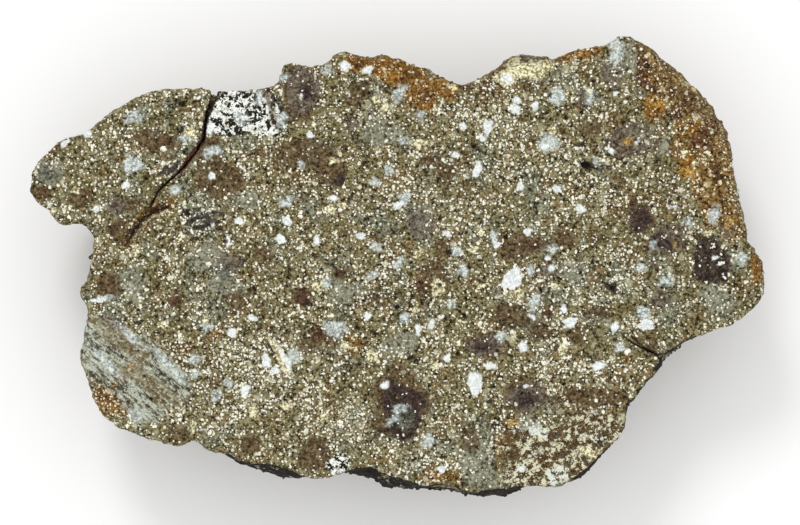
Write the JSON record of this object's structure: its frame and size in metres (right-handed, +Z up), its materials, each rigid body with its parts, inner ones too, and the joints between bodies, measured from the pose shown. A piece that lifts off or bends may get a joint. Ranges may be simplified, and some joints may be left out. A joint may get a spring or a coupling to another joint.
{
  "type": "suevite",
  "caption": "Sawn slab of suevite, an impact breccia, with a flat cut face, weathered and broken sides and a rough back with a flat resting spot.",
  "frame": {"origin": "middle of the slab's footprint, on the surface that it rests on", "axes": "+X along the slab's length, to the right of the sawn face as seen from above; +Y towards its weathered upper edge; +Z up out of the sawn face"},
  "size_m": [0.1312, 0.0826, 0.025],
  "materials": {
    "suevite": "matte"
  },
  "bodies": {
    "root": {"suevite_slab": "suevite"}
  },
  "joints": []
}
